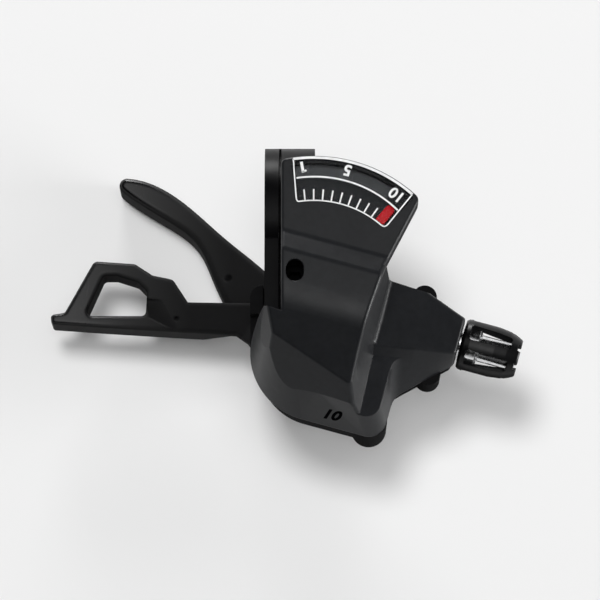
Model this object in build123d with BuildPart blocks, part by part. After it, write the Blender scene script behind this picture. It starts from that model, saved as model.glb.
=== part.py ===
from build123d import *
from math import cos, radians, sin, tan
import os

# All sizes in millimetres and degrees. X runs along the handlebar, Y towards the rider, Z up.
# The handlebar axis is the X axis, and the clamp band is centred on the origin.

BAR_R = 11.1
BAND_T = 3.1
BAND_W = 10.0
BAND_R = BAR_R + BAND_T

# Clamp bolt and the ears that it draws together
BOLT_X, BOLT_Y = 1.0, -17.0
BOLT_R = 2.0
BOLT_HEAD_R = 3.0
BOLT_HEAD_H = 4.0
BOLT_HEX = 3.0
EAR_FRONT_Y = -20.0
EAR_T = 2.6
EAR_GAP = 1.6
EAR_ROOM_X = 5.5
STRAP_LEFT_Y, STRAP_RIGHT_Y = -22.5, -23.6
STRAP_GROOVE_W, STRAP_GROOVE_D = 0.45, 1.6
STRAP_PLAY = 0.3

# Main axle of the winding gear, and the direction of the cable outlet in plan
AXLE_X, AXLE_Y = 6.1, -28.0
AXLE_R = 3.0
NOSE_ANGLE = -15.5
RUN_CLEAR = 0.05
GAP = 0.3

# Heights of the stack on the axle
PLATE_TOP, PLATE_LOW = 5.4, 2.0
DRUM_TOP, DRUM_LOW = 1.6, -4.4
CABLE_Z = -1.4
RATCHET_LOW = -6.4
RELEASE_PLATE_TOP, RELEASE_PLATE_LOW = -6.7, -8.3
FLOOR_TOP, FLOOR_LOW = -8.6, -10.0
RELEASE_TOP, RELEASE_LOW = -10.3, -13.5
MAIN_TOP, MAIN_LOW = -14.5, -18.0
AXLE_END = -18.2
AXLE_FLANGE_R, AXLE_FLANGE_T = 4.8, 1.2
AXLE_BOLT_R, AXLE_BOLT_HEAD_R, AXLE_BOLT_H = 1.6, 4.4, 2.8
WASHER_T = 0.8

# Winding drum and ratchet: one tooth for each gear step
CABLE_R = 10.0
DRUM_R = 10.9
GROOVE_R = 9.3
GROOVE_W = 1.6
STEP_ANGLE = 18.0
RATCHET_TIP_R = 7.0
RATCHET_ROOT_R = 5.9
RATCHET_PHASE = 16.5
SPRING_POCKET_IN, SPRING_POCKET_OUT = 4.8, 7.2

# Upper cover: rim of the housing, sloped skirt, raised roof
RIM_Z = 1.0
RIM_R = 14.0
RIM_RIGHT = 16.3
RIM_BACK = 17.4
RIM_CORNER = 3.6
COVER_BACK = 15.8
SKIRT_Z = 12.0
SKIRT_U, SKIRT_V = -1.0, 3.1
SKIRT_R = 12.0
SKIRT_RIGHT = 13.0
SKIRT_TURN = 10.0
COVER_TOP_Z = 22.0
WALL = 1.7
DISPLAY_Z = 19.0
MID_Z = 20.8
STEP_TOP_V, STEP_LOW_V = 17.6, 13.6
STEP_ROUND = 2.5
ROLL_R = 15.0
ROOF_SLOPE = 24.0
ROLL_LINE_V = 5.311651575
ROOF_WALL = 1.2
FRONT_BEVEL = ((-1.6, -9.4, 10.0), (-0.172, -0.797, 0.578))
LEFT_BEVEL = ((-12.1, 1.5, 17.0), (-0.762, -0.535, 0.365))
RIGHT_BEVEL = ((20.0, 8.75, 22.0, 9.5, 9.5), (-17.0, 7.7, 13.0, 11.2, 8.0))
ARM = ((9.0, 16.9, 15.8, 9.6, 2.0, 10.4, -12.5), (18.0, 17.2, 16.0, 7.2, 4.2, 7.7, -3.2),
       (26.0, 14.6, 13.6, 4.4, 6.2, 4.8, 4.6))
NOSE_END = ARM[-1][0]
COVER_ROUNDS = (
    (0.6, ((13.39, 6.15, 19.0), (-1.7, -1.2, 19.0), (22.29, -7.43, 19.0))),
    (4.0, ((20.37, -33.62, 4.49),)),
    (1.0, ((4.22, -32.87, 16.12), (-3.88, -25.25, 18.43), (12.93, -32.78, 17.2), (15.02, -24.88, 20.47),
           (17.21, -19.25, 20.8), (-3.64, -29.01, 15.79), (12.1, -39.36, 13.18))),
    (0.6, ((6.72, -38.74, 10.42), (-2.53, -34.08, 10.19), (-5.58, -25.52, 14.11))),
    (1.5, ((18.05, -21.95, 9.75),)),
    (0.8, ((28.69, -28.87, 6.25), (21.06, -28.65, 8.72), (31.25, -19.62, 5.8), (33.8, -25.41, 4.6),
           (32.6, -29.74, 2.9), (34.92, -21.36, 2.7))),
)

# Head of the cover with the gear display, about the pivot of the needle
PIVOT_X, PIVOT_Y = 4.7, -21.3
HEAD_LOW = 14.8
HEAD_R = 28.8
HEAD_LEFT_X = -1.7
HEAD_WALL = 0.9
HEAD_RIGHT = (25.5, -1.3)
HEAD_NOTCH = (18.6, -14.7)
HEAD_ROOT_X = 14.0
LENS_T = 0.8
LENS_MARGIN = 0.7
LENS_R_IN, LENS_R_OUT = 19.4, HEAD_R - LENS_MARGIN
LENS_FROM, LENS_TO = 45.6, 99.3
LENS_LEDGE = 0.6
DIAL_TOP, DIAL_T = 16.5, 0.6
NEEDLE_LOW, NEEDLE_T = 16.9, 0.6
NEEDLE_REST = 50.6
NEEDLE_LENGTH = 24.3
NEEDLE_HEAD_L, NEEDLE_HEAD_W = 4.8, 1.9
NEEDLE_PIN_R = 0.8
ACCESS_W, ACCESS_L = 3.5, 4.5
ACCESS_Y = -16.3

# Lower cover
LOWER_INSET = 0.6
LOWER_WALL = 1.5
LOWER_DRAFT = 5.0
ARM_LOW = -7.4
LOBES = ((17.0, 16.7, 2.4), (21.6, 1.9, 2.5))
FOOT = (12.9, -10.4, 3.5)
SHOULDER_X = -7.9
SHOULDER_Y = -14.6
SHOULDER_TOP = 3.2
SCREW_SPOTS = ((12.0, -8.8), (12.0, 13.4))
SCREW_R = 1.0
SCREW_HEAD_R = 1.9
SCREW_GRIP = 1.4

# Levers
HUB_R = 7.4
MAIN_FINGER_TOP = -18.9
MAIN_FINGER_LOW = -26.0
RELEASE_FINGER_TOP = -12.0
RELEASE_FINGER_LOW = -18.4
MAIN_ROUNDS = (
    (1.2, ((-18.2, -2.0, -18.9), (-15.1, 3.2, -18.9), (-36.0, 13.6, -18.9))),
    (0.6, ((-29.0, 8.4, -26.0), (-26.5, 12.3, -26.0), (-36.0, 13.6, -26.0))),
)
MAIN_DIMPLE = (-12.9, -7.1)
RELEASE_DIMPLE = (-23.1, -17.5)
FACET = ((-29.6, -13.2), (-26.2, -13.6), (-22.4, -20.6), (-28.8, -17.2))
FACET_SLOPE = 22.0
BUSH_R = 4.2
RETURN_COIL_R = 5.5
MAIN_STROKE = 54.0
RELEASE_STROKE = 12.0
RELEASE_TAB = 1.0
RELEASE_TAB_R = 8.4
RELEASE_TAB_ANGLE = 326.0

# Pawls
PAWL_LOW, PAWL_TOP = -6.3, -4.7
DRIVE_R = 9.2
DRIVE_ANGLE = 236.0
PAWL_PIN_R = 0.9
PAWL_EYE_R = 1.7
PAWL_TIP_R = RATCHET_TIP_R + 0.4
HOLD_SPOT = (11.6, -4.6)

# Cable adjuster
THREAD_R = 2.9
SOCKET_R = 2.3
CABLE_HOLE_R = 1.0
BOSS_R = 4.3
KNOB_FROM, KNOB_TO = 26.4, 38.2
KNOB_R, KNOB_END_R = 5.3, 3.9
KNOB_BARS = 6
KNOB_PHASE = 12.0
KNOB_COLLAR, KNOB_TIP = 1.3, 2.0
WINDOW_W, WINDOW_TIP_W, WINDOW_ROUND = 3.5, 2.6, 0.6
FLANGE_R = 4.2
FLANGE_FROM, FLANGE_TO = 27.6, 29.6
BARREL_END, BARREL_END_R = 37.6, 2.95
BARREL_R = 2.7
SEAL_AT = 26.8
SEAL_R = 0.5

ROLL_START_V = ROLL_LINE_V + ROLL_R * tan(radians(ROOF_SLOPE / 2))
U_DIR = Vector(cos(radians(NOSE_ANGLE)), sin(radians(NOSE_ANGLE)), 0)
V_DIR = Vector(-U_DIR.Y, U_DIR.X, 0)
PLAN = Plane(origin=(AXLE_X, AXLE_Y, 0), x_dir=U_DIR, z_dir=(0, 0, 1))
SIDE = Plane(origin=(AXLE_X, AXLE_Y, 0), x_dir=V_DIR, z_dir=U_DIR)
CROSS = Plane(origin=(AXLE_X, AXLE_Y, 0), x_dir=U_DIR, z_dir=-V_DIR)
NOSE = Plane(origin=PLAN.from_local_coords(Vector(0, CABLE_R, CABLE_Z)), x_dir=U_DIR, z_dir=-V_DIR)
NOSE_AXIS = Axis(NOSE.origin, U_DIR)
AXLE_AXIS = Axis((AXLE_X, AXLE_Y, 0), (0, 0, 1))
LOW_FACE = (Align.CENTER, Align.CENTER, Align.MIN)
PAWL_SPOT = (DRIVE_R * cos(radians(DRIVE_ANGLE)), DRIVE_R * sin(radians(DRIVE_ANGLE)))
RELEASE_SPOT = (RELEASE_TAB_R * cos(radians(RELEASE_TAB_ANGLE)), RELEASE_TAB_R * sin(radians(RELEASE_TAB_ANGLE)))

os.makedirs("parts", exist_ok=True)


def save(solid, label):
    solid.label = label
    export_step(solid, "parts/" + label + ".step")


def post(low, top, radius, spot=(0, 0), mode=Mode.ADD):
    with Locations(PLAN.from_local_coords(Vector(spot[0], spot[1], low))):
        Cylinder(radius, top - low, align=LOW_FACE, mode=mode)


def upright(low, top, radius, spot, mode=Mode.ADD):
    with Locations((spot[0], spot[1], low)):
        Cylinder(radius, top - low, align=LOW_FACE, mode=mode)


def block(x, y, z, mode=Mode.ADD):
    with Locations(((x[0] + x[1]) / 2, (y[0] + y[1]) / 2, (z[0] + z[1]) / 2)):
        Box(x[1] - x[0], y[1] - y[0], z[1] - z[0], mode=mode)


def plan_block(u, v, z, mode=Mode.ADD):
    centre = PLAN.from_local_coords(Vector((u[0] + u[1]) / 2, (v[0] + v[1]) / 2, (z[0] + z[1]) / 2))
    with Locations(Location(centre, (0, 0, NOSE_ANGLE))):
        Box(u[1] - u[0], v[1] - v[0], z[1] - z[0], mode=mode)


def along_nose(start, end, radius, mode=Mode.ADD):
    with Locations(Plane(origin=NOSE.from_local_coords(Vector(start, 0, 0)), z_dir=U_DIR).location):
        Cylinder(radius, end - start, align=LOW_FACE, mode=mode)


def coil(spot, radius, wire, low, pitch, turns):
    with BuildPart() as spring:
        with BuildLine() as path:
            Helix(pitch, pitch * turns, radius, center=(spot[0], spot[1], low))
        with BuildSketch(Plane(origin=path.line @ 0, z_dir=path.line % 0)):
            Circle(wire)
        sweep(is_frenet=True)
    return spring.part


def skirt_face(z, inset):
    t = (z - RIM_Z) / (SKIRT_Z - RIM_Z)
    cu = SKIRT_U * t
    cv = SKIRT_V * t
    r = RIM_R + (SKIRT_R - RIM_R) * t - inset
    right = RIM_RIGHT + (SKIRT_RIGHT - RIM_RIGHT) * t - inset
    back = RIM_BACK - inset
    with BuildSketch(PLAN.offset(z)) as face:
        with BuildLine():
            left = Line((cu - r, back), (cu - r, cv))
            bow = CenterArc((cu, cv), r, 180, 90 - SKIRT_TURN * t)
            end = bow @ 1
            low = (right, end.Y - (right - end.X) * tan(radians(SKIRT_TURN * t)))
            Polyline(end, low, (right, back), left @ 0)
        make_face()
        fillet(face.vertices().sort_by_distance(low)[0], RIM_CORNER - inset)
    return face.sketch


def bevel(spot, inset):
    point, normal = Vector(*spot[0]), Vector(*spot[1]).normalized()
    origin = PLAN.from_local_coords(point - normal * inset)
    return Plane(origin=origin, z_dir=PLAN.from_local_coords(point - normal * (inset - 1)) - origin)


def right_bevel(inset):
    with BuildPart() as wedge:
        for v, top_u, top_z, foot_u, foot_z in RIGHT_BEVEL:
            with BuildSketch(CROSS.offset(-v)):
                Polygon((2 * top_u - foot_u - inset, 2 * top_z - foot_z), (40, 40), (40, foot_z - 10),
                        (foot_u - inset, foot_z), align=None)
        loft(ruled=True)
    return wedge.part


def housing(inset, low):
    wedge = right_bevel(inset)
    with BuildPart() as body:
        loft([skirt_face(low, inset), skirt_face(COVER_TOP_Z, inset)], ruled=True)
        split(bisect_by=bevel(FRONT_BEVEL, inset), keep=Keep.BOTTOM)
        split(bisect_by=bevel(LEFT_BEVEL, inset), keep=Keep.BOTTOM)
        add(wedge, mode=Mode.SUBTRACT)
        plan_block((-40, 40), (COVER_BACK - inset, 40), (low - 1, COVER_TOP_Z + 1), Mode.SUBTRACT)
    return body.part


def arm(inset, low, ends):
    with BuildPart() as body:
        for (u, rear_low, rear_top, top_z, ridge_v, ridge_z, front), end in zip(ARM, (-1, 0, 1)):
            with BuildSketch(SIDE.offset(u + end * ends)):
                Polygon((rear_low - inset, low), (rear_top - inset, top_z - inset), (ridge_v, ridge_z - inset),
                        (front + 1.5 * inset, low), align=None)
        loft(ruled=True)
    return body.part


def head(inset, low, top):
    with BuildPart() as body:
        with BuildSketch(Plane.XY.offset(low)):
            with BuildLine():
                r = HEAD_R - inset
                left_x = HEAD_LEFT_X + inset
                corner = (left_x, PIVOT_Y + (r ** 2 - (PIVOT_X - left_x) ** 2) ** 0.5)
                right = (HEAD_RIGHT[0] - 1.4 * inset, HEAD_RIGHT[1] - 0.6 * inset)
                edge = Line((left_x, PIVOT_Y - 2), corner)
                bow = RadiusArc(corner, right, r)
                Polyline(right, (HEAD_NOTCH[0] - inset, HEAD_NOTCH[1]), (HEAD_ROOT_X - inset, PIVOT_Y - 2),
                         edge @ 0)
            make_face()
        extrude(amount=top - low)
        fillet(body.edges().filter_by(Axis.Z).sort_by(Axis.Y)[-1], 1.2 - 0.5 * inset)
        fillet(body.edges().filter_by(Axis.Z).sort_by(Axis.X)[-1], 1.6 - 0.5 * inset)
    return body.part


def strap_room(inset):
    with BuildPart() as room:
        with BuildSketch(Plane.XY.offset(-5)):
            left_y, right_y = STRAP_LEFT_Y - STRAP_PLAY - inset, STRAP_RIGHT_Y - STRAP_PLAY - inset
            Polygon((-20, 20), (-20, left_y), (-BAND_W / 2, left_y), (HEAD_LEFT_X + inset, right_y),
                    (HEAD_LEFT_X + inset, 20), align=None)
        extrude(amount=COVER_TOP_Z + 5)
    return room.part


def roof(drop):
    end_v = ROLL_START_V - ROLL_R * sin(radians(ROOF_SLOPE))
    end_z = MID_Z - ROLL_R * (1 - cos(radians(ROOF_SLOPE)))
    with BuildPart() as solid:
        with BuildSketch(SIDE) as profile:
            with BuildLine():
                top = Polyline((45, 0), (45, DISPLAY_Z - drop), (STEP_TOP_V, DISPLAY_Z - drop),
                               (STEP_LOW_V, MID_Z - drop), (ROLL_START_V, MID_Z - drop))
                roll = RadiusArc(top @ 1, (end_v, end_z - drop), -ROLL_R)
                Polyline(roll @ 1, (-20, end_z - drop - (20 + end_v) * tan(radians(ROOF_SLOPE))), (-20, 0), (45, 0))
            make_face()
            for corner in ((STEP_TOP_V, DISPLAY_Z - drop), (STEP_LOW_V, MID_Z - drop)):
                fillet(profile.vertices().sort_by_distance(corner)[0], STEP_ROUND)
        extrude(amount=45, both=True)
    return solid.part


def window(inset, low, top):
    with BuildPart() as pane:
        with BuildSketch(Plane.XY.offset(low)):
            with Locations((PIVOT_X, PIVOT_Y)):
                Circle(LENS_R_OUT - inset)
                Circle(LENS_R_IN + inset, mode=Mode.SUBTRACT)
            with BuildLine():
                reach = 45
                start, stop = radians(LENS_FROM), radians(LENS_TO)
                shift = inset / sin((stop - start) / 2)
                mid = (start + stop) / 2
                apex = (PIVOT_X + shift * cos(mid), PIVOT_Y + shift * sin(mid))
                Polyline(apex, (apex[0] + reach * cos(start), apex[1] + reach * sin(start)),
                         (apex[0] + reach * cos(stop), apex[1] + reach * sin(stop)), apex)
            make_face(mode=Mode.INTERSECT)
        extrude(amount=top - low)
        fillet(pane.edges().filter_by(Axis.Z), 0.8 - 0.5 * inset)
    return pane.part


EAR_LOW = PLATE_TOP
EAR_TOP = EAR_LOW + 2 * EAR_T + EAR_GAP
INNER_BACK = COVER_BACK - WALL - GAP

# Clamp band: an open ring with two ears
with BuildPart() as clamp_band:
    with BuildSketch(Plane.YZ):
        Circle(BAND_R)
        with Locations(((EAR_FRONT_Y - 10.5) / 2, EAR_LOW + EAR_T / 2)):
            Rectangle(-10.5 - EAR_FRONT_Y, EAR_T)
        with Locations(((EAR_FRONT_Y - 7.5) / 2, EAR_TOP - EAR_T / 2)):
            Rectangle(-7.5 - EAR_FRONT_Y, EAR_T)
        Circle(BAR_R, mode=Mode.SUBTRACT)
        with Locations(((EAR_FRONT_Y - 5) / 2, EAR_LOW + EAR_T + EAR_GAP / 2)):
            Rectangle(-5 - EAR_FRONT_Y, EAR_GAP, mode=Mode.SUBTRACT)
    extrude(amount=BAND_W / 2, both=True)
    fillet(clamp_band.edges().filter_by(Axis.Z).group_by(Axis.Y)[0], 1.5)
    with BuildSketch(Plane.XY.offset(EAR_TOP)):
        Polygon((-BAND_W / 2, BOLT_Y), (-BAND_W / 2, STRAP_LEFT_Y), (HEAD_LEFT_X, STRAP_RIGHT_Y),
                (HEAD_LEFT_X, BOLT_Y), align=None)
    extrude(amount=-EAR_T)
    with BuildSketch(Plane.YZ.offset(HEAD_LEFT_X - STRAP_GROOVE_W)):
        Circle(BAND_R + 1)
        Circle(BAND_R - STRAP_GROOVE_D, mode=Mode.SUBTRACT)
        with Locations((0, BAND_R)):
            Rectangle(2 * BAND_R, 1.4 * BAND_R, mode=Mode.INTERSECT)
    extrude(amount=STRAP_GROOVE_W, mode=Mode.SUBTRACT)
    block((HEAD_LEFT_X - STRAP_GROOVE_W, HEAD_LEFT_X), (-30, -7.5), (EAR_TOP - STRAP_GROOVE_D, EAR_TOP + 9),
          Mode.SUBTRACT)
    upright(0, EAR_TOP + 1, BOLT_R + 0.2, (BOLT_X, BOLT_Y), Mode.SUBTRACT)
save(clamp_band.part, "clamp_band")

with BuildPart() as clamp_bolt:
    upright(PLATE_LOW + 0.2, EAR_TOP, BOLT_R, (BOLT_X, BOLT_Y))
    upright(EAR_TOP, EAR_TOP + BOLT_HEAD_H, BOLT_HEAD_R, (BOLT_X, BOLT_Y))
    chamfer(clamp_bolt.faces().sort_by(Axis.Z)[-1].edges(), 0.4)
    with BuildSketch(Plane.XY.offset(EAR_TOP + BOLT_HEAD_H)):
        with Locations((BOLT_X, BOLT_Y)):
            RegularPolygon(BOLT_HEX / 2, 6, major_radius=False)
    extrude(amount=-2.2, mode=Mode.SUBTRACT)
save(clamp_bolt.part, "clamp_bolt")

# Base bracket: plate under the ears, with the threaded boss of the cable outlet
plate_face = skirt_face(PLATE_TOP, WALL + GAP)
with BuildPart() as base_bracket:
    extrude(plate_face, amount=PLATE_LOW - PLATE_TOP)
    block((-5, 30), (-14.5, 0), (PLATE_LOW - 1, PLATE_TOP + 1), Mode.SUBTRACT)
    plan_block((-40, 40), (INNER_BACK, 40), (PLATE_LOW - 1, PLATE_TOP + 1), Mode.SUBTRACT)
    block((-BAND_W / 2, 6), (-24, -14.5), (PLATE_LOW, PLATE_TOP))
    plan_block((5, 18.5), (5.4, INNER_BACK), (PLATE_LOW, PLATE_TOP))
    plan_block((14.6, 18.5), (6.2, 13.8), (CABLE_Z - 3.6, PLATE_LOW))
    along_nose(14.6, NOSE_END, BOSS_R)
    along_nose(5, 30, CABLE_HOLE_R, Mode.SUBTRACT)
    along_nose(19.5, 30, THREAD_R + RUN_CLEAR, Mode.SUBTRACT)
    post(0, 8, AXLE_R, mode=Mode.SUBTRACT)
    post(0, 8, PAWL_PIN_R, HOLD_SPOT, Mode.SUBTRACT)
    upright(0, 8, BOLT_R, (BOLT_X, BOLT_Y), Mode.SUBTRACT)
    upright(PLATE_LOW + 1, 8, NEEDLE_PIN_R, (PIVOT_X, PIVOT_Y), Mode.SUBTRACT)
    for spot in SCREW_SPOTS:
        post(0, 8, SCREW_R + 0.1, spot, Mode.SUBTRACT)
save(base_bracket.part, "base_bracket")

# Upper cover
outer_housing = housing(0, RIM_Z)
outer_head = head(0, HEAD_LOW, COVER_TOP_Z)
outer_arm = arm(0, RIM_Z, 0)
outer_roof = roof(0)
inner_housing = housing(WALL, RIM_Z - 1)
inner_arm = arm(1.5, RIM_Z - 1, 1)
inner_head = head(HEAD_WALL, HEAD_LOW - 1, COVER_TOP_Z)
inner_roof = roof(ROOF_WALL)
inner_low_roof = roof(WALL)
lens_seat = window(0, DISPLAY_Z - LENS_T, DISPLAY_Z + 1)
lens_opening = window(LENS_LEDGE, DISPLAY_Z - 3, DISPLAY_Z + 1)
outer_strap_room = strap_room(0)
inner_strap_room = strap_room(HEAD_WALL)
BACK_WALL_Y = EAR_FRONT_Y - 0.8

with BuildPart() as outer_shell:
    add(outer_housing)
    add(outer_head)
    add(outer_roof, mode=Mode.INTERSECT)
    add(outer_arm)
    block((-20, EAR_ROOM_X), (BACK_WALL_Y, 20), (-5, HEAD_LOW), Mode.SUBTRACT)
    add(outer_strap_room, mode=Mode.SUBTRACT)
    block((EAR_ROOM_X - 1, 40), (-13.0, 20), (-5, HEAD_LOW), Mode.SUBTRACT)
    for radius, spots in COVER_ROUNDS:
        fillet([outer_shell.edges().sort_by_distance(spot)[0] for spot in spots], radius)

with BuildPart() as cover_cavity:
    add(inner_housing)
    add(inner_low_roof, mode=Mode.INTERSECT)
    block((-20, EAR_ROOM_X), (BACK_WALL_Y - WALL, 20), (-5, HEAD_LOW), Mode.SUBTRACT)
    add(inner_strap_room, mode=Mode.SUBTRACT)
    add(inner_arm)

with BuildPart() as head_cavity:
    add(inner_head)
    add(inner_roof, mode=Mode.INTERSECT)

with BuildPart() as cover_bosses:
    for spot in SCREW_SPOTS:
        post(PLATE_TOP, COVER_TOP_Z, 2.2, spot)
    add(outer_shell.part, mode=Mode.INTERSECT)

with BuildPart() as upper_cover:
    add(outer_shell.part)
    add(cover_cavity.part, mode=Mode.SUBTRACT)
    add(head_cavity.part, mode=Mode.SUBTRACT)
    block((-BAND_W / 2 - GAP, 6.5), (-26, -14), (0, PLATE_TOP + GAP), Mode.SUBTRACT)
    upright(0, HEAD_LOW + 1, NEEDLE_PIN_R + 0.7, (PIVOT_X, PIVOT_Y), Mode.SUBTRACT)
    upright(EAR_TOP, EAR_TOP + BOLT_HEAD_H + GAP, BOLT_HEAD_R + GAP, (BOLT_X, BOLT_Y), Mode.SUBTRACT)
    add(cover_bosses.part)
    for spot in SCREW_SPOTS:
        post(0, PLATE_TOP + SCREW_GRIP + 0.2, SCREW_R, spot, Mode.SUBTRACT)
    along_nose(14, 34, BOSS_R + RUN_CLEAR, Mode.SUBTRACT)
    add(lens_seat, mode=Mode.SUBTRACT)
    add(lens_opening, mode=Mode.SUBTRACT)
    with BuildSketch(Plane.XY.offset(MID_Z - 6)):
        with Locations((BOLT_X, ACCESS_Y)):
            SlotOverall(ACCESS_L, ACCESS_W, rotation=90)
    extrude(amount=10, mode=Mode.SUBTRACT)
save(upper_cover.part, "upper_cover")

with BuildPart() as window_lens:
    add(window(RUN_CLEAR, DISPLAY_Z - LENS_T, DISPLAY_Z))
save(window_lens.part, "window_lens")

# Tray that closes the head from below, and the dial that lies on it
tray_body = head(HEAD_WALL + RUN_CLEAR, HEAD_LOW, DIAL_TOP - DIAL_T)
with BuildPart() as dial_tray:
    add(tray_body)
    block((-10, 40), (-40, BOLT_Y + BOLT_HEAD_R + 1.2), (HEAD_LOW - 1, DISPLAY_Z), Mode.SUBTRACT)
save(dial_tray.part, "dial_tray")

dial_room = head(HEAD_WALL + RUN_CLEAR, HEAD_LOW, DISPLAY_Z)
with BuildPart() as dial_plate:
    with BuildSketch(Plane.XY.offset(DIAL_TOP - DIAL_T)):
        with Locations((PIVOT_X, PIVOT_Y)):
            Circle(LENS_R_OUT - 0.5)
            Circle(LENS_R_IN - 0.6, mode=Mode.SUBTRACT)
        with BuildLine():
            start, stop = radians(LENS_FROM), radians(LENS_TO)
            Polyline((PIVOT_X, PIVOT_Y), (PIVOT_X + 45 * cos(start), PIVOT_Y + 45 * sin(start)),
                     (PIVOT_X + 45 * cos(stop), PIVOT_Y + 45 * sin(stop)), (PIVOT_X, PIVOT_Y))
        make_face(mode=Mode.INTERSECT)
    extrude(amount=DIAL_T)
    add(dial_room, mode=Mode.INTERSECT)
save(dial_plate.part, "dial_plate")

with BuildPart() as needle_pin:
    upright(PLATE_LOW + 1, NEEDLE_LOW + NEEDLE_T + 0.3, NEEDLE_PIN_R, (PIVOT_X, PIVOT_Y))
    upright(NEEDLE_LOW - 1.2, NEEDLE_LOW - 0.1, NEEDLE_PIN_R + 0.5, (PIVOT_X, PIVOT_Y))
save(needle_pin.part, "needle_pin")

needle_plane = Plane(origin=(PIVOT_X, PIVOT_Y, NEEDLE_LOW), x_dir=(cos(radians(NEEDLE_REST)),
                     sin(radians(NEEDLE_REST)), 0), z_dir=(0, 0, 1))
with BuildPart() as needle:
    with BuildSketch(needle_plane):
        Circle(2.0)
        with Locations((NEEDLE_LENGTH / 2 - 1, 0)):
            Rectangle(NEEDLE_LENGTH - 2, 1.1)
        with Locations((NEEDLE_LENGTH - NEEDLE_HEAD_L / 2, 0)):
            SlotOverall(NEEDLE_HEAD_L, NEEDLE_HEAD_W)
        Circle(NEEDLE_PIN_R + RUN_CLEAR, mode=Mode.SUBTRACT)
    extrude(amount=NEEDLE_T)
save(needle.part, "needle")

# Lower cover
lower_shell = skirt_face(RIM_Z, LOWER_INSET)
lower_room = skirt_face(RIM_Z, LOWER_INSET + LOWER_WALL)
arm_plan = [(8, ARM[0][1] - LOWER_INSET)] + [(row[0], row[1] - LOWER_INSET) for row in ARM[1:]]
arm_plan += [(row[0], row[-1] + LOWER_INSET) for row in reversed(ARM)]
drive_slot = CenterArc((0, 0), DRIVE_R, DRIVE_ANGLE, MAIN_STROKE)
release_slot = CenterArc((0, 0), RELEASE_TAB_R, RELEASE_TAB_ANGLE - RELEASE_STROKE, 2 * RELEASE_STROKE)
with BuildPart() as lower_cover:
    extrude(lower_shell, amount=FLOOR_LOW - RIM_Z, taper=LOWER_DRAFT)
    with BuildSketch(PLAN.offset(RIM_Z)):
        Polygon(*arm_plan, align=None)
    extrude(amount=ARM_LOW - RIM_Z, taper=LOWER_DRAFT)
    block((SHOULDER_X, 8), (AXLE_Y, SHOULDER_Y), (FLOOR_LOW + 2, RIM_Z))
    block((SHOULDER_X, -BAND_W / 2 - GAP), (EAR_FRONT_Y - 0.5, SHOULDER_Y), (FLOOR_LOW + 2, SHOULDER_TOP))
    fillet(lower_cover.edges().filter_by(Axis.Z).group_by(Axis.X)[0].sort_by(Axis.Y)[-1], 2.4)
    for u, v, r in LOBES:
        post(ARM_LOW + 2, RIM_Z, r, (u, v))
    post(FLOOR_LOW + 1, RIM_Z, FOOT[2], FOOT[:2])
    block((-20, 8), (SHOULDER_Y, 20), (-20, 10), Mode.SUBTRACT)
    block((8, 40), (-13.0, 20), (-20, 10), Mode.SUBTRACT)
    extrude(lower_room, amount=FLOOR_TOP - RIM_Z, taper=LOWER_DRAFT, mode=Mode.SUBTRACT)
    with BuildSketch(PLAN.offset(RIM_Z)):
        Polygon(*arm_plan, align=None)
        offset(amount=-LOWER_WALL, kind=Kind.INTERSECTION, mode=Mode.REPLACE)
    extrude(amount=ARM_LOW + LOWER_WALL - RIM_Z, mode=Mode.SUBTRACT)
    along_nose(14, 34, BOSS_R + RUN_CLEAR, Mode.SUBTRACT)
    for spot in SCREW_SPOTS:
        post(FLOOR_TOP, PLATE_LOW, 2.2, spot)
        plan_block((-40, 40), (INNER_BACK, 40), (RIM_Z, PLATE_TOP), Mode.SUBTRACT)
        post(FLOOR_LOW - 1, PLATE_LOW + 1, SCREW_R + 0.1, spot, Mode.SUBTRACT)
        post(FLOOR_LOW - 1, FLOOR_LOW + 2.5, SCREW_HEAD_R + 0.1, spot, Mode.SUBTRACT)
    post(FLOOR_LOW - 1, FLOOR_TOP + 1, AXLE_R + GAP, mode=Mode.SUBTRACT)
    with BuildSketch(PLAN.offset(FLOOR_LOW - 1)):
        SlotArc(drive_slot, 2 * (PAWL_PIN_R + GAP))
        SlotArc(release_slot, 2 * (RELEASE_TAB + GAP))
    extrude(amount=3, mode=Mode.SUBTRACT)
save(lower_cover.part, "lower_cover")

with BuildPart() as cover_screws:
    for spot in SCREW_SPOTS:
        post(FLOOR_LOW + 0.9, FLOOR_LOW + 2.5, SCREW_HEAD_R, spot)
        post(FLOOR_LOW + 2.5, PLATE_TOP + SCREW_GRIP, SCREW_R, spot)
        post(FLOOR_LOW, FLOOR_LOW + 1.7, 0.8, spot, Mode.SUBTRACT)
save(cover_screws.part, "cover_screws")

# Axle with its bolt and washers
with BuildPart() as main_axle:
    post(AXLE_END, PLATE_TOP, AXLE_R)
    post(PLATE_TOP, PLATE_TOP + AXLE_FLANGE_T, AXLE_FLANGE_R)
    post(AXLE_END, AXLE_END + 9, AXLE_BOLT_R, mode=Mode.SUBTRACT)
save(main_axle.part, "main_axle")

with BuildPart() as axle_washer:
    post(AXLE_END - WASHER_T, AXLE_END, BUSH_R + 1.6)
    post(AXLE_END - 2, AXLE_END + 1, AXLE_BOLT_R + 0.1, mode=Mode.SUBTRACT)
save(axle_washer.part, "axle_washer")

with BuildPart() as axle_bolt:
    post(AXLE_END - WASHER_T, AXLE_END + 8, AXLE_BOLT_R)
    post(AXLE_END - WASHER_T - AXLE_BOLT_H, AXLE_END - WASHER_T, AXLE_BOLT_HEAD_R)
    fillet(axle_bolt.faces().sort_by(Axis.Z)[0].edges(), 1.2)
    with BuildSketch(PLAN.offset(AXLE_END - WASHER_T - AXLE_BOLT_H)):
        RegularPolygon(2.0, 6, major_radius=False)
    extrude(amount=2, mode=Mode.SUBTRACT)
save(axle_bolt.part, "axle_bolt")

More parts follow.
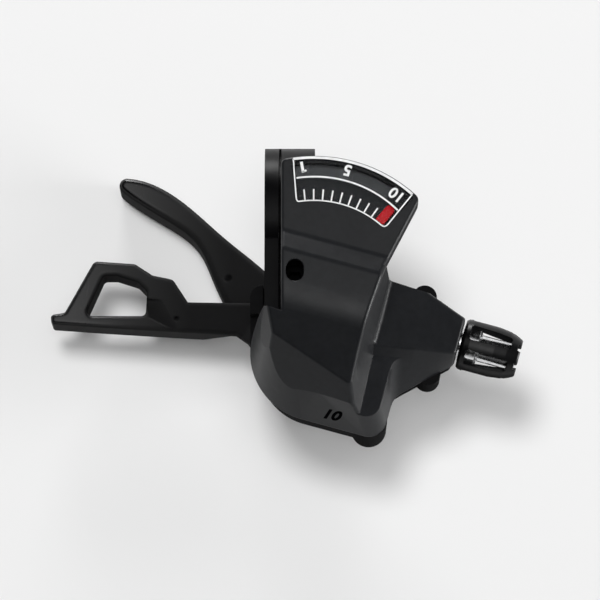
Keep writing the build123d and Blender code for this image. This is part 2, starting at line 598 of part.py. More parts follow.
with BuildPart() as thrust_washer:
    post(MAIN_TOP + 0.2, RELEASE_LOW - 0.2, BUSH_R + 1.6)
    post(MAIN_LOW, RELEASE_TOP, AXLE_R + RUN_CLEAR, mode=Mode.SUBTRACT)
save(thrust_washer.part, "thrust_washer")

# Winding drum with the cable groove, and the ratchet wheel under it
with BuildPart() as winder_drum:
    post(DRUM_LOW, DRUM_TOP, DRUM_R)
    with BuildSketch(PLAN.offset(CABLE_Z - GROOVE_W / 2)):
        Circle(DRUM_R + 1)
        Circle(GROOVE_R, mode=Mode.SUBTRACT)
    extrude(amount=GROOVE_W, mode=Mode.SUBTRACT)
    with BuildSketch(PLAN.offset(DRUM_TOP)):
        Circle(SPRING_POCKET_OUT)
        Circle(SPRING_POCKET_IN, mode=Mode.SUBTRACT)
    extrude(amount=-3.8, mode=Mode.SUBTRACT)
    post(DRUM_LOW - 1, CABLE_Z + 1.4, 1.6, (-1.6, CABLE_R - 1.0), Mode.SUBTRACT)
    post(DRUM_LOW - 1, DRUM_TOP + 1, AXLE_R + RUN_CLEAR, mode=Mode.SUBTRACT)
save(winder_drum.part, "winder_drum")

with BuildPart() as ratchet_wheel:
    teeth = []
    for i in range(round(360 / STEP_ANGLE)):
        face = radians(RATCHET_PHASE + STEP_ANGLE * i)
        teeth.append((RATCHET_ROOT_R * cos(face), RATCHET_ROOT_R * sin(face)))
        teeth.append((RATCHET_TIP_R * cos(face), RATCHET_TIP_R * sin(face)))
    with BuildSketch(PLAN.offset(RATCHET_LOW)):
        Polygon(*teeth, align=None)
        Circle(AXLE_R + RUN_CLEAR, mode=Mode.SUBTRACT)
    extrude(amount=DRUM_LOW - RATCHET_LOW)
save(ratchet_wheel.part, "ratchet_wheel")

save(coil((AXLE_X, AXLE_Y), 6.0, 0.4, DRUM_TOP - 3.2, 0.95, 2.8), "winder_spring")

# Levers: outline in plan, with the heights turned about the axle
with BuildPart() as main_sweep:
    with BuildSketch(CROSS):
        Polygon((0, MAIN_LOW), (12, MAIN_LOW), (19, MAIN_FINGER_TOP - 3.8), (44, MAIN_FINGER_LOW),
                (64, MAIN_FINGER_LOW), (64, MAIN_FINGER_TOP), (16.5, MAIN_FINGER_TOP), (11.5, MAIN_TOP),
                (0, MAIN_TOP), align=None)
    revolve(axis=AXLE_AXIS)

with BuildPart() as main_lever:
    with BuildSketch(Plane.XY.offset(MAIN_FINGER_LOW)):
        with BuildLine():
            upper = Spline((-34.2, 14.8), (-29.8, 13.9), (-22.4, 9.6), (-13.3, 1.5), (-6.5, -4.2), (4.5, -20.7))
            lower = Spline((-0.8, -30.5), (-9.5, -19.5), (-16.1, -6.5), (-19.6, 0.7), (-24.5, 4.8), (-35.2, 12.0))
            Line(upper @ 1, lower @ 0)
            TangentArc(lower @ 1, upper @ 0, tangent=lower % 1)
        make_face()
        with Locations((AXLE_X, AXLE_Y)):
            Circle(HUB_R)
    extrude(amount=MAIN_TOP - MAIN_FINGER_LOW)
    post(MAIN_LOW, MAIN_TOP, 2.0, PAWL_SPOT)
    add(main_sweep.part, mode=Mode.INTERSECT)
    for radius, spots in MAIN_ROUNDS:
        fillet([main_lever.edges().sort_by_distance(spot)[0] for spot in spots], radius)
    with Locations((MAIN_DIMPLE[0], MAIN_DIMPLE[1], MAIN_FINGER_TOP + 0.5)):
        Sphere(1.0, mode=Mode.SUBTRACT)
    post(MAIN_LOW - 1, MAIN_TOP + 1, BUSH_R, mode=Mode.SUBTRACT)
    post(MAIN_LOW - 1, MAIN_TOP + 1, PAWL_PIN_R, PAWL_SPOT, Mode.SUBTRACT)
    with BuildSketch(PLAN.offset(MAIN_TOP)):
        Circle(RETURN_COIL_R + 0.9)
        Circle(RETURN_COIL_R - 0.9, mode=Mode.SUBTRACT)
    extrude(amount=-1.8, mode=Mode.SUBTRACT)
save(main_lever.part, "main_lever")

with BuildPart() as main_bush:
    post(MAIN_LOW, MAIN_TOP, BUSH_R)
    post(MAIN_LOW - 1, MAIN_TOP + 1, AXLE_R + RUN_CLEAR, mode=Mode.SUBTRACT)
save(main_bush.part, "main_bush")
save(coil((AXLE_X, AXLE_Y), RETURN_COIL_R, 0.35, MAIN_TOP - 1.4, 0.8, 1.3), "main_lever_spring")

with BuildPart() as release_sweep:
    with BuildSketch(CROSS):
        Polygon((0, RELEASE_LOW), (19.5, RELEASE_LOW), (26, RELEASE_FINGER_LOW), (64, RELEASE_FINGER_LOW),
                (64, RELEASE_FINGER_TOP), (17, RELEASE_FINGER_TOP), (11, RELEASE_TOP), (0, RELEASE_TOP), align=None)
    revolve(axis=AXLE_AXIS)

facet_dir = Vector(FACET[1][0] - FACET[2][0], FACET[1][1] - FACET[2][1], 0).normalized()
facet_tilt = Vector(-facet_dir.Y, facet_dir.X, 0) * sin(radians(FACET_SLOPE)) + Vector(0, 0, cos(radians(FACET_SLOPE)))
with BuildPart() as finger_facet:
    with BuildSketch(Plane.XY.offset(RELEASE_FINGER_LOW)):
        Polygon(*FACET, align=None)
    extrude(amount=RELEASE_TOP - RELEASE_FINGER_LOW)
    split(bisect_by=Plane(origin=(FACET[2][0], FACET[2][1], RELEASE_FINGER_TOP), z_dir=facet_tilt), keep=Keep.TOP)

with BuildPart() as release_lever:
    with BuildSketch(Plane.XY.offset(RELEASE_FINGER_LOW)) as release_outline:
        Polygon((6, -21), (-8, -14.1), (-20.9, -13.9), (-24.0, -9.1), (-28.2, -8.2), (-31.8, -5.8), (-40.2, -5.2),
                (-46.0, -16.1), (-48.9, -16.6), (-48.7, -18.5), (-37.7, -19.3), (-23.5, -20.2), (-11, -20.9),
                (-1, -28), align=None)
        fillet(release_outline.vertices().filter_by_position(Axis.Y, -10, 0), 1.4)
        fillet(release_outline.vertices().filter_by_position(Axis.X, -50, -45), 0.7)
        Polygon((-41.8, -16.8), (-38.2, -8.3), (-35.5, -8.3), (-31.2, -9.7), (-29.3, -11.7), (-29.5, -16.8),
                align=None, mode=Mode.SUBTRACT)
        fillet(release_outline.face().inner_wires()[0].vertices(), 1.0)
        with Locations((AXLE_X, AXLE_Y)):
            Circle(HUB_R)
    extrude(amount=RELEASE_TOP - RELEASE_FINGER_LOW)
    post(RELEASE_LOW, RELEASE_TOP, RELEASE_TAB + 0.9, RELEASE_SPOT)
    add(release_sweep.part, mode=Mode.INTERSECT)
    for level in (RELEASE_FINGER_TOP, RELEASE_FINGER_LOW):
        fillet(release_lever.faces().filter_by_position(Axis.Z, level - 0.01, level + 0.01).edges(), 0.8)
    add(finger_facet.part, mode=Mode.SUBTRACT)
    upright(RELEASE_FINGER_TOP - 0.8, RELEASE_TOP, 0.5, RELEASE_DIMPLE, Mode.SUBTRACT)
    post(RELEASE_TOP - 1, RELEASE_PLATE_TOP, RELEASE_TAB, RELEASE_SPOT)
    post(RELEASE_LOW - 1, RELEASE_TOP + 1, BUSH_R, mode=Mode.SUBTRACT)
    with BuildSketch(PLAN.offset(RELEASE_TOP)):
        Circle(RETURN_COIL_R + 0.9)
        Circle(RETURN_COIL_R - 0.9, mode=Mode.SUBTRACT)
    extrude(amount=-1.8, mode=Mode.SUBTRACT)
save(release_lever.part, "release_lever")

with BuildPart() as release_bush:
    post(RELEASE_LOW, RELEASE_TOP, BUSH_R)
    post(RELEASE_LOW - 1, RELEASE_TOP + 1, AXLE_R + RUN_CLEAR, mode=Mode.SUBTRACT)
save(release_bush.part, "release_bush")
save(coil((AXLE_X, AXLE_Y), RETURN_COIL_R, 0.35, RELEASE_TOP - 1.4, 0.8, 1.3), "release_spring")

with BuildPart() as release_plate:
    with BuildSketch(PLAN.offset(RELEASE_PLATE_LOW)):
        Circle(AXLE_R + 2.4)
        with Locations(Location((0, 0), RELEASE_TAB_ANGLE)):
            with Locations((RELEASE_TAB_R / 2 + 0.6, 0)):
                SlotOverall(RELEASE_TAB_R + 2.8, 3.6)
        Circle(AXLE_R + RUN_CLEAR, mode=Mode.SUBTRACT)
        with Locations(RELEASE_SPOT):
            Circle(RELEASE_TAB, mode=Mode.SUBTRACT)
    extrude(amount=RELEASE_PLATE_TOP - RELEASE_PLATE_LOW)
save(release_plate.part, "release_plate")

# Pawls with their pins and springs
def pawl(spot, outline):
    with BuildPart() as solid:
        with BuildSketch(PLAN.offset(PAWL_LOW)):
            with Locations(spot):
                Circle(PAWL_EYE_R)
            Polygon(*outline, align=None)
            with Locations(spot):
                Circle(PAWL_PIN_R + RUN_CLEAR, mode=Mode.SUBTRACT)
        extrude(amount=PAWL_TOP - PAWL_LOW)
    return solid.part


def polar(radius, angle):
    return (radius * cos(radians(angle)), radius * sin(radians(angle)))


drive_outline = (polar(PAWL_TIP_R, DRIVE_ANGLE + 30), polar(DRIVE_R - 0.1, DRIVE_ANGLE + 26),
                 polar(DRIVE_R + 1.6, DRIVE_ANGLE + 3), polar(DRIVE_R - 1.2, DRIVE_ANGLE + 3),
                 polar(PAWL_TIP_R + 0.9, DRIVE_ANGLE + 19))
hold_outline = (polar(PAWL_TIP_R, RATCHET_PHASE - 2.5), (HOLD_SPOT[0] + 1.3, HOLD_SPOT[1] + 1.0),
                (HOLD_SPOT[0] - 1.3, HOLD_SPOT[1] - 1.0))
save(pawl(PAWL_SPOT, drive_outline), "drive_pawl")
save(pawl(HOLD_SPOT, hold_outline), "hold_pawl")

with BuildPart() as drive_pawl_pin:
    post(MAIN_LOW, PAWL_TOP, PAWL_PIN_R, PAWL_SPOT)
save(drive_pawl_pin.part, "drive_pawl_pin")

with BuildPart() as hold_pawl_pin:
    post(FLOOR_TOP + 0.2, PLATE_TOP, PAWL_PIN_R, HOLD_SPOT)
save(hold_pawl_pin.part, "hold_pawl_pin")

drive_centre = PLAN.from_local_coords(Vector(PAWL_SPOT[0], PAWL_SPOT[1], 0))
hold_centre = PLAN.from_local_coords(Vector(HOLD_SPOT[0], HOLD_SPOT[1], 0))
save(coil((drive_centre.X, drive_centre.Y), 1.3, 0.2, PAWL_LOW - 1.7, 0.55, 2.4), "drive_pawl_spring")
save(coil((hold_centre.X, hold_centre.Y), 1.3, 0.2, PAWL_LOW - 1.7, 0.55, 2.4), "hold_pawl_spring")

# Cable adjuster
with BuildPart() as adjuster_barrel:
    with BuildSketch(NOSE):
        Polygon((20, CABLE_HOLE_R), (20, THREAD_R), (FLANGE_FROM, THREAD_R), (FLANGE_FROM, FLANGE_R),
                (FLANGE_TO, FLANGE_R), (FLANGE_TO + 0.2, FLANGE_R - 0.3), (FLANGE_TO + 0.6, BARREL_R),
                (BARREL_END - 1.2, BARREL_R), (BARREL_END - 0.8, BARREL_END_R), (BARREL_END, BARREL_END_R),
                (BARREL_END, SOCKET_R), (30, SOCKET_R), (29.4, CABLE_HOLE_R), align=None)
    revolve(axis=NOSE_AXIS)
save(adjuster_barrel.part, "adjuster_barrel")

with BuildPart() as knob_window:
    with BuildSketch(NOSE):
        Polygon((KNOB_FROM + KNOB_COLLAR, -WINDOW_W / 2), (KNOB_FROM + KNOB_COLLAR, WINDOW_W / 2),
                (KNOB_TO - KNOB_TIP, WINDOW_TIP_W / 2), (KNOB_TO - KNOB_TIP, -WINDOW_TIP_W / 2), align=None)
        fillet(vertices(), WINDOW_ROUND)
        with Locations((KNOB_TO, 0)):
            Rectangle(1.4, 1.4)
    extrude(amount=KNOB_R + 1)

with BuildPart() as adjuster_knob:
    with BuildSketch(NOSE):
        Polygon((KNOB_FROM, FLANGE_R), (KNOB_FROM, KNOB_R - 0.6), (KNOB_FROM + 0.5, KNOB_R - 0.2),
                (KNOB_FROM + 1.6, KNOB_R), (KNOB_FROM + 6.6, KNOB_R - 0.05), (KNOB_TO - 2.6, KNOB_R - 0.4),
                (KNOB_TO - 0.3, KNOB_END_R), (KNOB_TO, KNOB_END_R - 0.3), (KNOB_TO, BARREL_END_R),
                (BARREL_END, BARREL_END_R), (BARREL_END - 0.8, BARREL_END_R + 0.15), (FLANGE_TO + 0.2, FLANGE_R),
                align=None)
    revolve(axis=NOSE_AXIS)
    for i in range(KNOB_BARS):
        add(knob_window.part.rotate(NOSE_AXIS, KNOB_PHASE + 360 / KNOB_BARS * i), mode=Mode.SUBTRACT)
save(adjuster_knob.part, "adjuster_knob")

with BuildPart() as adjuster_seal:
    with Locations(Plane(origin=NOSE.from_local_coords(Vector(SEAL_AT, 0, 0)), z_dir=U_DIR).location):
        Torus(THREAD_R + SEAL_R + RUN_CLEAR, SEAL_R)
save(adjuster_seal.part, "adjuster_seal")
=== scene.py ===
"""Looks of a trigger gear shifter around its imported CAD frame: finishes, dial print, light and camera."""
import math

import bpy
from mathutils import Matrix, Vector


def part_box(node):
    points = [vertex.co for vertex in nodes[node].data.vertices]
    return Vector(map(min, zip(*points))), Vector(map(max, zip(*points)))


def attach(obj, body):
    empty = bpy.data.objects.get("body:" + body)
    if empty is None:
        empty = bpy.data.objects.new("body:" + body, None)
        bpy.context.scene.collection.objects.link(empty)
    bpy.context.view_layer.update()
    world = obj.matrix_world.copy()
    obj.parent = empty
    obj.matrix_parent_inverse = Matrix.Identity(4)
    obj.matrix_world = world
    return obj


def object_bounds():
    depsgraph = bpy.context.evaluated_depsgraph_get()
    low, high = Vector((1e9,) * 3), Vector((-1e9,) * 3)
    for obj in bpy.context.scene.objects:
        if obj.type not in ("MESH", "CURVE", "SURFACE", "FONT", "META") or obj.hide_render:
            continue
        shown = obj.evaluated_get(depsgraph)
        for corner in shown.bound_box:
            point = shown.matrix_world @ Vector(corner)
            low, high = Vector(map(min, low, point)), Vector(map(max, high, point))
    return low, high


MM = 0.001
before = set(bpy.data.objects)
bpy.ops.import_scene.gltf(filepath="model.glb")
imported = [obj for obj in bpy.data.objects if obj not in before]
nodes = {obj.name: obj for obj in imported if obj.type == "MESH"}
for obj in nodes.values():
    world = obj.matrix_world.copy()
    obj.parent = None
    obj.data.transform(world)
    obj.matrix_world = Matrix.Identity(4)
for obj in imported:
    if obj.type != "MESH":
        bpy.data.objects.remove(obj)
cad_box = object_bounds()


# Materials, with lengths in metres

NOISE_LOW, NOISE_HIGH = 0.3, 0.7
SHADE_LOW, SHADE_HIGH = 0.88, 1.12
BEVEL_SAMPLES = 4


def linear(level):
    """Linear share of an sRGB level from 0 to 255."""
    c = level / 255
    return c / 12.92 if c <= 0.04045 else ((c + 0.055) / 1.055) ** 2.4


def colour(r, g, b):
    return (linear(r), linear(g), linear(b), 1)


def grey(share):
    return (share, share, share, 1)


class Finish:
    """A Principled material with helpers for procedural variation in object space."""

    def __init__(self, name, rough, metallic=0.0, spec=0.5):
        self.mat = bpy.data.materials.new(name)
        self.mat.use_nodes = True
        self.tree = self.mat.node_tree
        self.bsdf = self.tree.nodes["Principled BSDF"]
        self.bsdf.inputs["Roughness"].default_value = rough
        self.bsdf.inputs["Metallic"].default_value = metallic
        self.bsdf.inputs["Specular IOR Level"].default_value = spec
        place = self.tree.nodes.new("ShaderNodeTexCoord")
        self.coords = place.outputs["Object"]
        self.normal = place.outputs["Normal"]
        self.rough = rough

    def node(self, kind, **values):
        """A new node. Values go to the inputs of the same names, with _ for a space."""
        made = self.tree.nodes.new(kind)
        for key, value in values.items():
            made.inputs[key.replace("_", " ")].default_value = value
        return made

    def link(self, out, into):
        self.tree.links.new(out, into)

    def noise(self, scale, detail=2.0):
        made = self.node("ShaderNodeTexNoise", Scale=scale, Detail=detail)
        self.link(self.coords, made.inputs["Vector"])
        return made.outputs["Fac"]

    def tint(self, low, high, scale, detail):
        """Base colour that drifts between two shades."""
        ramp = self.node("ShaderNodeValToRGB")
        first, last = ramp.color_ramp.elements
        first.position = NOISE_LOW
        first.color = low
        last.position = NOISE_HIGH
        last.color = high
        self.link(self.noise(scale, detail), ramp.inputs["Fac"])
        self.link(ramp.outputs["Color"], self.bsdf.inputs["Base Color"])
        return self

    def sheen_spread(self, spread, scale):
        """Roughness that drifts to both sides of its value."""
        reach = self.node("ShaderNodeMapRange", From_Min=NOISE_LOW, From_Max=NOISE_HIGH,
                          To_Min=self.rough - spread, To_Max=self.rough + spread)
        self.link(self.noise(scale), reach.inputs["Value"])
        self.link(reach.outputs["Result"], self.bsdf.inputs["Roughness"])
        return self

    def polish(self, x_root, x_tip, rough_root):
        """Roughness graded along X, from the root to the tip that fingers keep smooth."""
        along = self.node("ShaderNodeSeparateXYZ")
        self.link(self.coords, along.inputs["Vector"])
        graded = self.node("ShaderNodeMapRange", From_Min=x_root, From_Max=x_tip,
                           To_Min=rough_root, To_Max=self.rough)
        self.link(along.outputs["X"], graded.inputs["Value"])
        self.link(graded.outputs["Result"], self.bsdf.inputs["Roughness"])
        return self

    def dull_walls(self, wall_rough, low, high):
        """Walls rougher than the faces turned up, with a blend between two values of the normal's Z."""
        upward = self.node("ShaderNodeSeparateXYZ")
        self.link(self.normal, upward.inputs["Vector"])
        share = self.node("ShaderNodeMapRange", From_Min=low, From_Max=high, To_Min=wall_rough)
        self.link(upward.outputs["Z"], share.inputs["Value"])
        flat = self.bsdf.inputs["Roughness"].links[0].from_socket
        self.link(flat, share.inputs["To Max"])
        self.link(share.outputs["Result"], self.bsdf.inputs["Roughness"])
        return self

    def grain(self, scale, height, strength, edge=0.0):
        """Fine bump, on a normal that is rounded over the edges where edge is set."""
        bump = self.node("ShaderNodeBump", Strength=strength, Distance=height)
        self.link(self.noise(scale), bump.inputs["Height"])
        if edge:
            soft = self.node("ShaderNodeBevel", Radius=edge)
            soft.samples = BEVEL_SAMPLES
            self.link(soft.outputs["Normal"], bump.inputs["Normal"])
        self.link(bump.outputs["Normal"], self.bsdf.inputs["Normal"])
        return self


def moulded(name, shade, rough, grain=5200, height=0.000012, edge=0.00025, spec=0.5, wall=None, root=None):
    """Plastic, rubber, print or coated metal. wall is handed to dull_walls, and root to polish."""
    low = tuple(c * SHADE_LOW for c in shade[:3]) + (1,)
    high = tuple(c * SHADE_HIGH for c in shade[:3]) + (1,)
    made = Finish(name, rough, spec=spec).tint(low, high, scale=900, detail=3.0)
    if root:
        made.polish(*root)
    else:
        made.sheen_spread(0.03, scale=300)
    if wall:
        made.dull_walls(*wall)
    return made.grain(grain, height, strength=0.6, edge=edge).mat


def printed(name, shade, rough=0.5, grain=8000, height=0.000004, spec=0.2):
    return moulded(name, shade, rough, grain=grain, height=height, edge=0, spec=spec)


def turned(name, low, high, rough):
    """Bare metal."""
    made = Finish(name, rough, metallic=1.0).tint(low, high, scale=700, detail=4.0)
    made.sheen_spread(0.08, scale=900)
    return made.grain(2600, height=0.000004, strength=0.4, edge=0.0001).mat


# Walls as (roughness, normal's Z where the blend starts, normal's Z where the flat finish is reached)
COVER_WALL = (1.0, 0.08, 0.28)
BASE_WALL = (1.0, 0.2, 0.45)
SMALL_WALL = (0.95, 0.2, 0.45)
LEVER_WALL = (1.0, 0.5, 0.9)

# Levers as (X at the root, X at the tip, roughness at the root)
MAIN_ROOT = (-0.012, -0.034, 0.95)
RELEASE_ROOT = (-0.02, -0.045, 0.95)

COVER = moulded("cover_satin", colour(23, 24, 26), 0.32, spec=0.2, wall=COVER_WALL)
BASE = moulded("base_black", colour(9, 9, 10), 0.5, spec=0.06, wall=BASE_WALL)
LEVER = moulded("lever_satin", colour(6, 6, 7), 0.16, grain=4200, edge=0.0006, spec=0.42,
                wall=LEVER_WALL, root=MAIN_ROOT)
LEVER_ALLOY = moulded("lever_alloy_black", colour(8, 8, 9), 0.16, grain=7000, height=0.000006, edge=0.0006,
                      spec=0.42, wall=LEVER_WALL, root=RELEASE_ROOT)
CLAMP = moulded("clamp_black", colour(4, 4, 5), 0.36, grain=6000, spec=0.08, wall=SMALL_WALL)
KNOB = moulded("knob_black", colour(5, 5, 6), 0.3, spec=0.2, wall=SMALL_WALL)
BLACKED = moulded("blacked_steel", colour(3, 3, 4), 0.6, grain=7000, spec=0.03)
RUBBER = moulded("seal_rubber", colour(5, 5, 5), 0.7, grain=3000, height=0.00002, spec=0.1)
BEARING = moulded("bearing_plastic", colour(196, 194, 186), 0.35, grain=2500, height=0.000005)
DIAL = printed("dial_ground", colour(34, 36, 38))
BAND = printed("dial_band_grey", colour(68, 70, 72))
FIELD = printed("dial_field_grey", colour(80, 82, 84))
PRINT = printed("dial_print_white", colour(228, 229, 229), grain=9000, height=0.000003)
MARK = printed("skirt_mark_black", colour(4, 4, 5), rough=0.9, grain=9000, height=0.000003, spec=0.0)
NEEDLE = moulded("needle_red", colour(198, 6, 20), 0.22, grain=1800, height=0.000006, edge=0.0003, spec=0.25)
STEEL = turned("steel", low=(0.38, 0.38, 0.39, 1), high=(0.56, 0.56, 0.57, 1), rough=0.32)
SPRING = turned("spring_wire", low=grey(0.3), high=grey(0.46), rough=0.3)
ALLOY = turned("bright_alloy", low=(0.62, 0.63, 0.64, 1), high=(0.8, 0.8, 0.81, 1), rough=0.24)

LENS_SHADE = (0.01, 0.01, 0.012, 1)
LENS_ALPHA = 0.06
lens = Finish("lens_clear", rough=0.06)
lens.bsdf.inputs["Base Color"].default_value = LENS_SHADE
lens.bsdf.inputs["Alpha"].default_value = LENS_ALPHA
lens.sheen_spread(0.03, scale=300).grain(1500, height=0.000002, strength=0.2)

FINISHES = {
    COVER: ["upper_cover"],
    BASE: ["lower_cover", "dial_tray"],
    LEVER: ["main_lever"],
    LEVER_ALLOY: ["release_lever"],
    CLAMP: ["clamp_band", "base_bracket"],
    KNOB: ["adjuster_knob"],
    RUBBER: ["adjuster_seal"],
    BEARING: ["winder_drum", "main_bush", "release_bush", "thrust_washer"],
    DIAL: ["dial_plate"],
    NEEDLE: ["needle"],
    STEEL: ["cover_screws", "needle_pin", "main_axle", "axle_washer", "ratchet_wheel", "drive_pawl",
            "drive_pawl_pin", "release_plate", "hold_pawl", "hold_pawl_pin"],
    SPRING: ["winder_spring", "main_lever_spring", "drive_pawl_spring", "release_spring",
             "hold_pawl_spring"],
    BLACKED: ["clamp_bolt", "axle_bolt"],
    ALLOY: ["adjuster_barrel"],
    lens.mat: ["window_lens"],
}
for finish, names in FINISHES.items():
    for name in names:
        for slot in nodes[name].material_slots:
            slot.material = finish


# Dial print, in plan about the pivot of the needle: millimetres, and degrees from the X axis

PIVOT = Vector((4.7, -21.3))
DIAL_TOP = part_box("dial_plate")[1][2] / MM
LENS_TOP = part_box("window_lens")[1][2] / MM
PRINT_T = 0.03

RIM_IN, RIM_OUT = 28.05, 28.55
RIM_START, RIM_STOP = 47.15, 98.2
FRAME_W = 0.26
FRAME_LEFT = ((28.3, 98.15), (24.3, 98.85), (20.4, 99.7), (20.0, 99.7), (19.7, 99.4), (19.56, 98.8))
FRAME_FOOT_R, FRAME_FOOT_START, FRAME_FOOT_STOP = 19.55, 98.2, 48.0
FRAME_RIGHT = ((19.6, 46.9), (19.8, 46.0), (20.2, 45.5), (20.7, 45.5), (24.0, 46.4), (28.3, 47.2))
MID_R, MID_BOW, MID_CENTRE = 24.4, 0.0003, 85
MID_START, MID_STOP = 47, 98
MID_W = 0.34
TICK_COUNT, TICK_FIRST, TICK_STEP = 9, 95.05, 4.975
TICK_IN, TICK_OUT = 19.6, 21.85
TICK_W = 0.3
BAND_IN, BAND_OUT = 24.8, 27.55
BLOCK_ANGLES = ((79.0, 91.8), (55.5, 72.7))
FIELD_ANGLES = ((91.8, 97.6), (72.7, 79.0))
ONE_STEM, ONE_STEM_W = ((27.55, 95.1), (25.3, 94.65)), 0.56
ONE_FLAG, ONE_FLAG_W = ((25.42, 94.9), (25.75, 93.2)), 0.42
DIAL_NUMBER_SIZE = 3.1
DIAL_NUMBER_LIFT = 0.02


def polar(radius, angle):
    a = math.radians(angle)
    return PIVOT + Vector((radius * math.cos(a), radius * math.sin(a)))


def polar_points(pairs):
    return [polar(radius, angle) for radius, angle in pairs]


def piece(name, verts, faces, mat, body):
    mesh = bpy.data.meshes.new(name)
    mesh.from_pydata([Vector(v) * MM for v in verts], [], faces)
    mesh.update()
    made = bpy.data.objects.new(name, mesh)
    bpy.context.collection.objects.link(made)
    made.data.materials.append(mat)
    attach(made, body)
    return made


def plates(name, strips, z, mat):
    """Thin flat plates, one per strip of (inner, outer) point pairs in plan."""
    verts, faces = [], []
    for strip in strips:
        base = len(verts)
        for inner, outer in strip:
            for level in (z, z + PRINT_T):
                verts += [(inner.x, inner.y, level), (outer.x, outer.y, level)]
        count = len(strip)
        for i in range(count - 1):
            a, b = base + 4 * i, base + 4 * (i + 1)
            faces += [(a + 2, a + 3, b + 3, b + 2), (a, b, b + 1, a + 1)]
            faces += [(a, a + 2, b + 2, b), (a + 1, b + 1, b + 3, a + 3)]
        end = base + 4 * (count - 1)
        faces += [(base, base + 1, base + 3, base + 2), (end, end + 2, end + 3, end + 1)]
    return piece(name, verts, faces, mat, "housing")


def arc_strip(inner, outer, start, stop, steps=48):
    angles = [start + (stop - start) * i / steps for i in range(steps + 1)]
    return [(polar(inner, a), polar(outer, a)) for a in angles]


def bar_strip(radius_in, radius_out, angle, width):
    across = Vector((-math.sin(math.radians(angle)), math.cos(math.radians(angle)))) * width / 2
    return [(polar(r, angle) - across, polar(r, angle) + across) for r in (radius_in, radius_out)]


def ribbon(points, width):
    """Strip of one width along a line of points in plan."""
    strip = []
    for i, spot in enumerate(points):
        along = (points[min(i + 1, len(points) - 1)] - points[max(i - 1, 0)]).normalized()
        across = Vector((-along.y, along.x)) * width / 2
        strip.append((spot - across, spot + across))
    return strip


def arc_points(radius, start, stop, steps=40):
    return [polar(radius, start + (stop - start) * i / steps) for i in range(steps + 1)]


def mid_radius(angle):
    return MID_R - MID_BOW * (angle - MID_CENTRE) ** 2


def band_strips(angles):
    return [arc_strip(BAND_IN, BAND_OUT, start, stop) for start, stop in angles]


foot_line = arc_points(FRAME_FOOT_R, FRAME_FOOT_START, FRAME_FOOT_STOP)
frame_line = polar_points(FRAME_LEFT) + foot_line + polar_points(FRAME_RIGHT)
mid_line = [polar(mid_radius(a), a) for a in range(MID_START, MID_STOP + 1)]
rim = arc_strip(RIM_IN, RIM_OUT, RIM_START, RIM_STOP)
border = [rim, ribbon(frame_line, FRAME_W), ribbon(mid_line, MID_W)]
for i in range(TICK_COUNT):
    border.append(bar_strip(TICK_IN, TICK_OUT, TICK_FIRST - TICK_STEP * i, TICK_W))
one = [ribbon(polar_points(ONE_STEM), ONE_STEM_W), ribbon(polar_points(ONE_FLAG), ONE_FLAG_W)]

plates("dial_border", border, LENS_TOP, PRINT)
plates("dial_blocks", band_strips(BLOCK_ANGLES), DIAL_TOP, BAND)
plates("dial_fields", band_strips(FIELD_ANGLES), DIAL_TOP, FIELD)
plates("dial_number_1", one, LENS_TOP, PRINT)


def lettering(name, text, size, mat, place, weight, shear=0.0):
    """A number as a mesh: place maps flat text points in millimetres to the part's frame."""
    curve = bpy.data.curves.new(name, "FONT")
    curve.body = text
    curve.size = size
    curve.align_x = "CENTER"
    curve.align_y = "CENTER"
    curve.shear = shear
    curve.offset = weight
    curve.extrude = PRINT_T / 2
    curve.resolution_u = 6
    holder = bpy.data.objects.new(name, curve)
    bpy.context.collection.objects.link(holder)
    bpy.context.view_layer.update()
    mesh = bpy.data.meshes.new_from_object(holder.evaluated_get(bpy.context.evaluated_depsgraph_get()))
    verts = [place(v.co) for v in mesh.vertices]
    faces = [tuple(p.vertices) for p in mesh.polygons]
    bpy.data.objects.remove(holder)
    return piece(name, verts, faces, mat, "housing")


def on_dial(radius, angle):
    """Places text on the lens, with its top towards the pivot."""
    spot = polar(radius, angle)
    turn = math.radians(angle + 90)

    def place(co):
        x = spot.x + co.x * math.cos(turn) - co.y * math.sin(turn)
        y = spot.y + co.x * math.sin(turn) + co.y * math.cos(turn)
        return (x, y, LENS_TOP + DIAL_NUMBER_LIFT + co.z)

    return place


five_place = on_dial(radius=26.6, angle=75.6)
ten_place = on_dial(radius=26.3, angle=51.9)
lettering("dial_number_5", "5", DIAL_NUMBER_SIZE, PRINT, five_place, weight=0.1)
lettering("dial_number_10", "10", DIAL_NUMBER_SIZE, PRINT, ten_place, weight=0.08)


# Number on the skirt, laid on the cover along the photo's line of sight, in millimetres and image pixels

TARGET = Vector((2.0, -16.8, 0.0))
ELEVATION = math.radians(75)
BACK = Vector((0, -math.cos(ELEVATION), math.sin(ELEVATION)))
UP = Vector((0, math.sin(ELEVATION), math.cos(ELEVATION)))
DISTANCE = 600.0
IMAGE_CENTRE = 300
PIXELS_PER_MM = 5
SKIRT_PIXEL_X, SKIRT_PIXEL_Y = 330.5, 415.0
SKIRT_NUMBER_SIZE = 2.6
SKIRT_NUMBER_TURN = math.radians(-12)
SKIRT_NUMBER_STRETCH = 1.4
SKIRT_NUMBER_LIFT = 0.03


def on_cover(px, py, turn, stretch):
    """Places text on the upper cover, where the sight lines through its place in the image meet it."""
    cover = nodes["upper_cover"]
    start = TARGET + BACK * DISTANCE
    centre = Vector(((px - IMAGE_CENTRE) / PIXELS_PER_MM, (IMAGE_CENTRE - py) / PIXELS_PER_MM))

    def place(co):
        x = centre.x + co.x * stretch * math.cos(turn) - co.y * math.sin(turn)
        y = centre.y + co.x * stretch * math.sin(turn) + co.y * math.cos(turn)
        aim = TARGET + Vector((x, 0, 0)) + UP * y - start
        _, spot, normal, _ = cover.ray_cast(start * MM, aim.normalized())
        return spot / MM + normal * (SKIRT_NUMBER_LIFT + co.z)

    return place


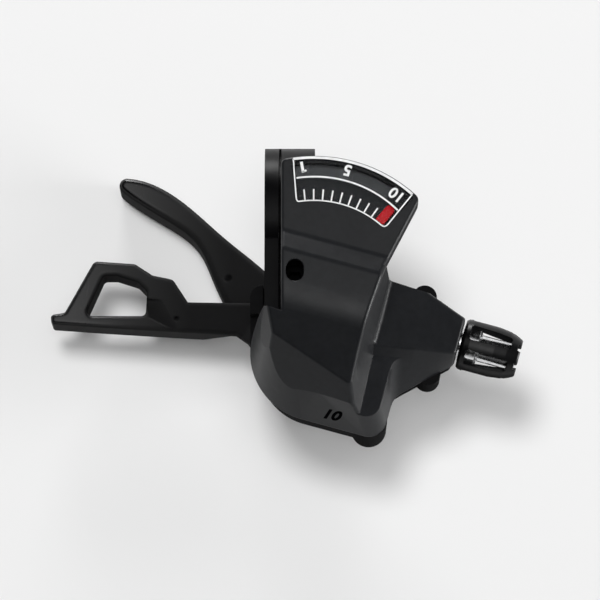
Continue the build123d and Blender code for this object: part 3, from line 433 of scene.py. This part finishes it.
skirt_place = on_cover(SKIRT_PIXEL_X, SKIRT_PIXEL_Y, SKIRT_NUMBER_TURN, SKIRT_NUMBER_STRETCH)
lettering("skirt_number", "10", SKIRT_NUMBER_SIZE, MARK, skirt_place, weight=0.1, shear=0.3)


# Floor, light and camera, in metres

FLOOR_GAP = 0.0006
FLOOR_SIZE = 6.0
FLOOR_SHADE = 0.79
SKY_HORIZON, SKY_ZENITH = 0.65, 1.0
SKY_STOPS = ((0.22, SKY_HORIZON), (0.34, 0.0), (0.88, 0.0), (0.95, SKY_ZENITH))
SKY_STRENGTH = 1.6
LIGHT_DISTANCE = 1.3
SENSOR_WIDTH = 36
FOCAL_LENGTH = 180
CLIP_START = 0.01

floor_z = cad_box[0].z - FLOOR_GAP
bpy.ops.mesh.primitive_plane_add(size=FLOOR_SIZE, location=(0, 0, floor_z))
floor = bpy.context.object
floor.name = "floor"
ground = Finish("floor_pale", rough=0.9, spec=0.1)
ground.bsdf.inputs["Base Color"].default_value = grey(FLOOR_SHADE)
floor.data.materials.append(ground.mat)

# The sky's level goes by the height of the direction, from the horizon at 0 to the zenith at 1
world = bpy.data.worlds.new("studio")
world.use_nodes = True
sky = world.node_tree
direction = sky.nodes.new("ShaderNodeSeparateXYZ")
sky.links.new(sky.nodes.new("ShaderNodeTexCoord").outputs["Generated"], direction.inputs["Vector"])
bands = sky.nodes.new("ShaderNodeValToRGB")
for position, level in SKY_STOPS:
    stop = bands.color_ramp.elements.new(position)
    stop.color = grey(level)
bands.color_ramp.elements[0].color = grey(SKY_HORIZON)
bands.color_ramp.elements[-1].color = grey(SKY_ZENITH)
sky.links.new(direction.outputs["Z"], bands.inputs["Fac"])
sky.links.new(bands.outputs["Color"], sky.nodes["Background"].inputs["Color"])
sky.nodes["Background"].inputs["Strength"].default_value = SKY_STRENGTH
bpy.context.scene.world = world


def soft_light(name, turn, tilt, size, power):
    """Round light aimed at the part: turn about the upright axis and tilt from it, in degrees."""
    data = bpy.data.lights.new(name, "AREA")
    data.shape = "DISK"
    data.size = size
    data.energy = power
    made = bpy.data.objects.new(name, data)
    turn, tilt = math.radians(turn), math.radians(tilt)
    away = Vector((math.sin(tilt) * math.cos(turn), math.sin(tilt) * math.sin(turn), math.cos(tilt)))
    made.location = TARGET * MM + away * LIGHT_DISTANCE
    made.rotation_euler = away.to_track_quat("Z", "Y").to_euler()
    bpy.context.collection.objects.link(made)
    return made


# The key light shades the part and the floor, and is kept out of reflections
key = soft_light("key_above", turn=130, tilt=14, size=0.4, power=8.4)
key.visible_glossy = False
soft_light("overhead", turn=268, tilt=9, size=0.4, power=1.2)
soft_light("low_behind", turn=95, tilt=80, size=0.5, power=11)
soft_light("low_right", turn=350, tilt=82, size=0.6, power=16)

camera = bpy.data.cameras.new("camera")
camera.sensor_width = SENSOR_WIDTH
camera.lens = FOCAL_LENGTH
camera.clip_start = CLIP_START
eye = bpy.data.objects.new("camera", camera)
bpy.context.collection.objects.link(eye)
eye.location = (TARGET + BACK * DISTANCE) * MM
eye.rotation_euler = (-BACK).to_track_quat("-Z", "Y").to_euler()
bpy.context.scene.camera = eye

bpy.context.scene.view_settings.view_transform = "Standard"
